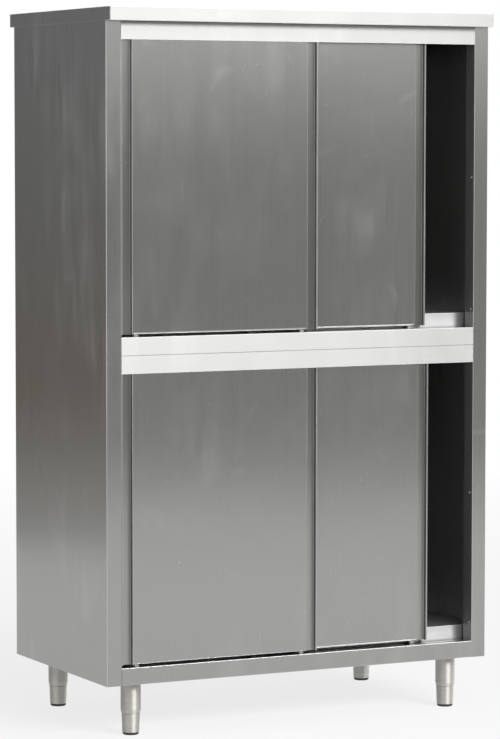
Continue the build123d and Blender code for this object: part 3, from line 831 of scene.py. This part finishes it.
def fit(piece, body, maker):
    """Smooths a new piece, gives it its finish and lets it ride on a body."""
    bpy.ops.object.select_all(action="DESELECT")
    piece.select_set(True)
    bpy.context.view_layer.objects.active = piece
    bpy.ops.object.shade_smooth_by_angle(angle=SMOOTH_ANGLE)
    piece.data.materials.clear()
    piece.data.materials.append(finish_of(maker))
    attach(piece, body)


def evenly(start, end, pitch):
    """Places from start to end, as near a pitch apart as fits."""
    gaps = max(1, round((end - start) / pitch))
    return [start + (end - start) * step / gaps for step in range(gaps + 1)]


def middle_of(node):
    """Middle of a node at rest, as seen from above."""
    low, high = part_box(node)
    return (low.x + high.x) / 2, (low.y + high.y) / 2


# Finishes of the CAD nodes
class CABINET_OT_finish_carcass(bpy.types.Operator):
    """Brush the top, sides, back, floors and rails"""

    bl_idname = "cabinet.finish_carcass"
    bl_label = "Finish carcass"

    def execute(self, context):
        upright = ["left_side_panel", "right_side_panel", "upper_back_panel", "lower_back_panel"]
        level = ["top_cap", "top_stiffeners", "upper_floor_stiffeners"]
        level += ["base_runners", "bottom_guides", "leg_plates"]
        dress(upright, upright_steel)
        dress(level, level_steel)
        dress(["upper_header", "lower_header"], header_steel)
        dress(["lower_ledge_rail"], upright_ledge_steel)
        dress(["upper_ledge_rail"], level_ledge_steel)
        dress(["upper_floor", "lower_floor"], floor_steel)
        return {"FINISHED"}


class CABINET_OT_finish_doors(bpy.types.Operator):
    """Brush the doors, and plate and mould what they hang and run on"""

    bl_idname = "cabinet.finish_doors"
    bl_label = "Finish doors"

    def execute(self, context):
        for door in DOORS:
            dress([f"{door}_skin"], door_steel)
            dress([f"{door}_liner"], upright_steel)
            dress([f"{door}_hangers"], zinc_plate)
            dress([f"{door}_left_roller", f"{door}_right_roller"], white_nylon)
            dress([f"{door}_glides"], dull_nylon)
        dress(["track_stops"], white_nylon)
        dress(["door_buffers"], buffer_rubber)
        dress(["upper_door_track", "lower_door_track"], drawn_aluminium)
        return {"FINISHED"}


class CABINET_OT_finish_legs(bpy.types.Operator):
    """Satin the legs, and plate their bolts"""

    bl_idname = "cabinet.finish_legs"
    bl_label = "Finish legs"

    def execute(self, context):
        dress(LEGS + FEET, satin_tube)
        dress(["leg_bolts", "leg_nuts", "leg_inserts"], zinc_plate)
        dress([foot.replace("_foot", "_sole") for foot in FEET], sole_plastic)
        return {"FINISHED"}


# New pieces
class CABINET_OT_thread_feet(bpy.types.Operator):
    """Turn the feet, with the thread on their stems"""

    bl_idname = "cabinet.thread_feet"
    bl_label = "Thread feet"

    def execute(self, context):
        sizes = context.scene.cabinet_fasteners
        low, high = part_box(FEET[0])
        body = self.turned_body((high.x - low.x) / 2, low.z)
        stem = self.threaded_stem(high.z, sizes.thread_pitch, sizes.thread_depth)
        pattern = joined([body, stem], "foot_pattern")
        for foot in FEET:
            piece = joined([copy_at(pattern, (*middle_of(foot), 0.0))], f"{foot}_threaded")
            fit(piece, foot, satin_tube)
            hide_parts(foot)
        bpy.data.objects.remove(pattern)
        return {"FINISHED"}

    def turned_body(self, radius, bottom):
        """The tapered part of a foot, with its edges eased."""
        foot_radius = radius - FOOT_TAPER
        return turned_piece("foot_body", [
            (0.0, bottom),
            (foot_radius - FOOT_EDGE, bottom),
            (foot_radius, bottom + FOOT_EDGE),
            (radius, FOOT_TOP - FOOT_EDGE),
            (radius - FOOT_EDGE, FOOT_TOP),
            (0.0, FOOT_TOP),
        ], FOOT_STEPS)

    def threaded_stem(self, top, pitch, depth):
        """A stem with one thread wound up it, cut square at the foot and chamfered at its end."""
        root = STEM_RADIUS - depth
        start = FOOT_TOP - 2 * pitch
        stem = drawn_line("foot_stem", [
            (root, start),
            (STEM_RADIUS, start + 0.4 * pitch),
            (STEM_RADIUS, start + 0.6 * pitch),
            (root, start + pitch),
        ])
        bpy.ops.object.mode_set(mode="OBJECT")
        bpy.ops.object.modifier_add(type="SCREW")
        thread = stem.modifiers[-1]
        thread.screw_offset = pitch
        thread.iterations = round((top - start) / pitch) + 1
        thread.steps = THREAD_STEPS
        thread.render_steps = thread.steps
        thread.use_merge_vertices = True
        thread.merge_threshold = MERGE_DISTANCE
        bpy.ops.object.modifier_apply(modifier=thread.name)
        bpy.ops.object.mode_set(mode="EDIT")
        bpy.ops.mesh.select_all(action="SELECT")
        cut = {"use_fill": True, "plane_no": (0.0, 0.0, 1.0)}
        bpy.ops.mesh.bisect(plane_co=(0.0, 0.0, start + pitch), clear_inner=True, **cut)
        bpy.ops.mesh.select_all(action="SELECT")
        bpy.ops.mesh.bisect(plane_co=(0.0, 0.0, top - depth), clear_outer=True, **cut)
        bpy.ops.mesh.extrude_region_move(TRANSFORM_OT_translate={"value": (0.0, 0.0, depth)})
        shrink = (root - depth) / STEM_RADIUS
        bpy.ops.transform.resize(value=(shrink, shrink, 1.0), center_override=(0.0, 0.0, top))
        clean_faces()
        return stem


class CABINET_OT_weld_legs(bpy.types.Operator):
    """Weld the legs to their plates"""

    bl_idname = "cabinet.weld_legs"
    bl_label = "Weld legs"

    def execute(self, context):
        sizes = context.scene.cabinet_fasteners
        size = sizes.weld_size
        low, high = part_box(LEGS[0])
        radius, top = (high.x - low.x) / 2, high.z
        points = [(radius + size * out, top - size * down) for out, down in WELD_BEAD]
        bead = turned_piece("weld_bead", points, WELD_STEPS)
        outer = radius + 0.3 * size
        select_points(bead, lambda point: point.xy.length > outer and spoke(point, WELD_STEPS) % 3 == 0)
        swell = 1.0 + sizes.weld_ripple / radius
        bpy.ops.transform.resize(value=(swell, swell, 1.0), center_override=(0.0, 0.0, top))
        bpy.ops.object.mode_set(mode="OBJECT")
        welds = spread(bead, [(*middle_of(leg), 0.0) for leg in LEGS], "leg_welds")
        fit(welds, "carcass", weld_bead)
        return {"FINISHED"}


class CABINET_OT_screw_hangers(bpy.types.Operator):
    """Screw the hangers' feet to the tops of the doors"""

    bl_idname = "cabinet.screw_hangers"
    bl_label = "Screw hangers"

    def execute(self, context):
        sizes = context.scene.cabinet_fasteners
        for door in DOORS:
            head = self.screw_head(sizes.screw_radius, sizes.screw_height)
            screws = spread(head, self.places(door, sizes.screw_spread), f"{door}_screws")
            fit(screws, door, zinc_plate)
        return {"FINISHED"}

    def screw_head(self, radius, height):
        """A button head with a hexagon socket."""
        head = turned_piece("screw_head", sized(SCREW_HEAD, radius, height), SCREW_STEPS)
        inner = 0.6 * radius
        select_points(
            head, lambda point: 0.0 < point.xy.length < inner and spoke(point, SCREW_STEPS) % 2)
        flat = cos(pi / 6)
        bpy.ops.transform.resize(value=(flat, flat, 1.0), center_override=(0.0, 0.0, 0.0))
        bpy.ops.object.mode_set(mode="OBJECT")
        return head

    def places(self, door, spread_by):
        """Two screws on the foot of each of a door's hangers."""
        low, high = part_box(f"{door}_hangers")
        half = HANGER_FOOT_LENGTH / 2
        level = low.z + HANGER_FOOT_THICKNESS
        middle = (low.y + high.y) / 2
        hangers = (low.x + half, high.x - half)
        return [(x + side * spread_by, middle, level) for x in hangers for side in (-1, 1)]


class CABINET_OT_rivet_back(bpy.types.Operator):
    """Rivet the back panels to the side panels' flanges and to the floors"""

    bl_idname = "cabinet.rivet_back"
    bl_label = "Rivet back"

    def execute(self, context):
        sizes = context.scene.cabinet_fasteners
        head = self.rivet_head(sizes.rivet_radius, sizes.rivet_height)
        rivets = spread(head, self.places(sizes), "back_rivets")
        fit(rivets, "carcass", zinc_plate)
        return {"FINISHED"}

    def rivet_head(self, radius, height):
        """A domed head that faces backwards, with the hole that the rivet's pin broke off in."""
        head = turned_piece("rivet_head", sized(RIVET_HEAD, radius, height), RIVET_STEPS)
        head.rotation_euler = (-pi / 2, 0.0, 0.0)
        return head

    def places(self, sizes):
        """Down both flanges, along both sides of the seam and along the bottom floor."""
        margin, pitch = sizes.rivet_margin, sizes.rivet_pitch
        spots = []
        for panel, side in (("left_side_panel", -1), ("right_side_panel", 1)):
            low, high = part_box(panel)
            x = max(side * low.x, side * high.x) - SIDE_FLANGE / 2
            spots += [(side * x, high.y, z) for z in evenly(low.z + margin, high.z - margin, pitch)]
        low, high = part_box("lower_back_panel")
        floor_low, floor_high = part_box("lower_floor")
        seam = sizes.seam_margin
        rows = (high.z + seam, high.z - seam, (floor_low.z + floor_high.z) / 2)
        reach = high.x - SIDE_FLANGE - margin
        spots += [(x, high.y, z) for z in rows for x in evenly(-reach, reach, pitch)]
        return spots


# Stage
def floor_material(studio):
    """Pale floor that turns into the white background far away."""
    tree, shader, place = new_material("studio_floor")
    shader.inputs["Base Color"].default_value = (*studio.floor_colour, 1.0)
    shader.inputs["Roughness"].default_value = FLOOR_ROUGHNESS
    shader.inputs["Specular IOR Level"].default_value = 0.0
    white = add_node(tree, "ShaderNodeEmission", {"Color": WHITE})
    away = add_node(tree, "ShaderNodeVectorMath", {0: place}, operation="LENGTH")
    glow = remap(tree, away.outputs["Value"], *FLOOR_FADE, FLOOR_GLOW, 1.0)
    mix = {"Fac": glow, 1: shader.outputs["BSDF"], 2: white.outputs["Emission"]}
    share = add_node(tree, "ShaderNodeMixShader", mix)
    tree.links.new(share.outputs["Shader"], tree.nodes["Material Output"].inputs["Surface"])
    return bpy.data.materials["studio_floor"]


def wall_tones(tree, rise, stops):
    """Colour of the surround by height."""
    ramp = add_node(tree, "ShaderNodeValToRGB", {"Fac": rise})
    bands = ramp.color_ramp.elements
    while len(bands) < len(stops):
        bands.new(0.5)
    for band, (height, colour) in zip(bands, stops):
        band.position = height
        band.color = (*colour, 1.0)
    return ramp.outputs["Color"]


def wall_share(tree, place, studio, way, span):
    """Share of a stretch of wall, which grows along a way."""
    along = add_node(tree, "ShaderNodeVectorMath", {0: place, 1: way}, operation="DOT_PRODUCT")
    begins, full = (part * studio.surround_radius for part in span)
    return remap(tree, along.outputs["Value"], begins, full, 0.0, 1.0)


def grey(brightness):
    """A plain grey."""
    return brightness, brightness, brightness, 1.0


def surround_material(studio):
    """Studio wall that the steel reflects: white, with two dim stretches and two brighter ones."""
    tree, shader, place = new_material("studio_surround")
    tree.nodes.remove(shader)
    parts = add_node(tree, "ShaderNodeSeparateXYZ", {"Vector": place})
    half = studio.surround_height / 2
    rise = remap(tree, parts.outputs["Z"], -half, half, 0.0, 1.0)
    left = wall_share(tree, place, studio, LEFT_WALL_WAY, LEFT_WALL_SPAN)
    left = arithmetic(tree, "MULTIPLY", left, remap(tree, rise, *LEFT_WALL_FOOT, 0.0, 1.0))
    colour = blended(tree, left, WHITE, grey(studio.left_wall))
    for way, span, wall in (
        (RIGHT_WALL_WAY, RIGHT_WALL_SPAN, grey(studio.right_wall)),
        (BACK_WALL_WAY, BACK_WALL_SPAN, wall_tones(tree, rise, BACK_WALL)),
        (FRONT_WALL_WAY, FRONT_WALL_SPAN, wall_tones(tree, rise, FRONT_WALL)),
    ):
        colour = blended(tree, wall_share(tree, place, studio, way, span), colour, wall)
    glow = add_node(tree, "ShaderNodeEmission", {"Color": colour})
    tree.links.new(glow.outputs["Emission"], tree.nodes["Material Output"].inputs["Surface"])
    material = bpy.data.materials["studio_surround"]
    material.cycles.emission_sampling = "NONE"
    return material


def soft_lamp(name, place, size, power):
    """A soft lamp of a width and height that points at the cabinet's middle."""
    lamp = bpy.data.lights.new(name, "AREA")
    lamp.shape = "RECTANGLE"
    lamp.size, lamp.size_y = size
    lamp.energy = power
    holder = bpy.data.objects.new(name, lamp)
    bpy.context.scene.collection.objects.link(holder)
    holder.location = place
    aim = [end - start for start, end in zip(place, CABINET_MIDDLE)]
    holder.rotation_euler = Vector(aim).to_track_quat("-Z", "Y").to_euler()
    holder.visible_camera = False


class CABINET_OT_set_stage(bpy.types.Operator):
    """Lay the floor, hang the lamps and set up the camera"""

    bl_idname = "cabinet.set_stage"
    bl_label = "Set stage"

    def execute(self, context):
        studio = context.scene.cabinet_studio
        bpy.ops.object.select_all(action="DESELECT")
        bpy.ops.mesh.primitive_circle_add(
            vertices=STAGE_STEPS, radius=studio.floor_radius, fill_type="NGON")
        floor = context.object
        floor.name = "studio_floor"
        floor.data.materials.append(floor_material(studio))
        surround = self.surround(context, studio)
        self.light(context, studio)
        self.camera(context, studio)
        return {"FINISHED"}

    def surround(self, context, studio):
        """The wall round the cabinet, raised on the left, which only reflections see."""
        height = studio.surround_height
        bpy.ops.object.select_all(action="DESELECT")
        bpy.ops.mesh.primitive_cylinder_add(
            vertices=STAGE_STEPS, radius=studio.surround_radius, depth=height, end_fill_type="NOTHING",
            location=(*SURROUND_MIDDLE, height / 2))
        surround = context.object
        surround.name = "studio_surround"
        tall_from = TALL_WALL_START * studio.surround_radius
        back = Vector(BACK_WALL_WAY)
        select_points(surround, lambda point: point.z > 0 and point.dot(back) > tall_from)
        bpy.ops.transform.translate(value=(0.0, 0.0, studio.back_wall_height - height))
        bpy.ops.object.mode_set(mode="OBJECT")
        surround.data.materials.append(surround_material(studio))
        for ray in ("camera", "diffuse", "transmission", "shadow"):
            setattr(surround, f"visible_{ray}", False)
        return surround

    def light(self, context, studio):
        """A white background, light from all round and two soft lamps."""
        soft_lamp("key_light", KEY_PLACE, KEY_SIZE, studio.key_power)
        soft_lamp("top_light", TOP_PLACE, TOP_SIZE, studio.top_power)
        world = bpy.data.worlds.new("studio_world")
        context.scene.world = world
        world.use_nodes = True
        tree = world.node_tree
        seen = tree.nodes["Background"]
        seen.inputs["Color"].default_value = WHITE
        soft = {"Color": WHITE, "Strength": studio.ambient}
        around = add_node(tree, "ShaderNodeBackground", soft)
        path = add_node(tree, "ShaderNodeLightPath")
        direct = arithmetic(tree, "ADD", path.outputs["Is Camera Ray"], path.outputs["Is Glossy Ray"])
        direct = arithmetic(tree, "MAXIMUM", direct, path.outputs["Is Transmission Ray"])
        mix = {"Fac": direct, 1: around.outputs["Background"], 2: seen.outputs["Background"]}
        share = add_node(tree, "ShaderNodeMixShader", mix)
        tree.links.new(share.outputs["Shader"], tree.nodes["World Output"].inputs["Surface"])

    def camera(self, context, studio):
        """The camera, at the height and angle that show the front and the left side."""
        lens = bpy.data.cameras.new("camera")
        lens.lens = studio.camera_lens
        lens.clip_end = CAMERA_REACH
        holder = bpy.data.objects.new("camera", lens)
        context.scene.collection.objects.link(holder)
        holder.location = studio.camera_place
        tilt = pi / 2 + studio.camera_pitch
        holder.rotation_euler = (tilt, studio.camera_roll, -studio.camera_heading)
        context.scene.camera = holder
        context.scene.view_settings.view_transform = "Standard"


class CABINET_PT_panel(bpy.types.Panel):
    """Sidebar panel that lists the cabinet's steps and settings"""

    bl_idname = "CABINET_PT_panel"
    bl_label = "Storage cabinet"
    bl_space_type = "VIEW_3D"
    bl_region_type = "UI"
    bl_category = "Cabinet"

    def draw(self, context):
        for step in STEPS:
            self.layout.operator(step.bl_idname)
        for group, kind in SETTINGS.items():
            for name in kind.__annotations__:
                self.layout.prop(getattr(context.scene, group), name)


STEPS = (
    CABINET_OT_finish_carcass,
    CABINET_OT_finish_doors,
    CABINET_OT_finish_legs,
    CABINET_OT_thread_feet,
    CABINET_OT_weld_legs,
    CABINET_OT_screw_hangers,
    CABINET_OT_rivet_back,
    CABINET_OT_set_stage,
)
SETTINGS = {
    "cabinet_finish": CabinetFinish,
    "cabinet_fasteners": CabinetFasteners,
    "cabinet_studio": StudioSetup,
}
CLASSES = (*SETTINGS.values(), *STEPS, CABINET_PT_panel)


def register():
    """Makes the settings, steps and panel known to Blender."""
    for item in CLASSES:
        bpy.utils.register_class(item)
    for group, kind in SETTINGS.items():
        setattr(bpy.types.Scene, group, PointerProperty(type=kind))


def unregister():
    """Takes them away again."""
    for group in SETTINGS:
        delattr(bpy.types.Scene, group)
    for item in reversed(CLASSES):
        bpy.utils.unregister_class(item)


def main():
    """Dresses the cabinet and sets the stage."""
    register()
    bpy.ops.cabinet.finish_carcass()
    bpy.ops.cabinet.finish_doors()
    bpy.ops.cabinet.finish_legs()
    bpy.ops.cabinet.thread_feet()
    bpy.ops.cabinet.weld_legs()
    bpy.ops.cabinet.screw_hangers()
    bpy.ops.cabinet.rivet_back()
    bpy.ops.cabinet.set_stage()


if __name__ == "__main__":
    main()
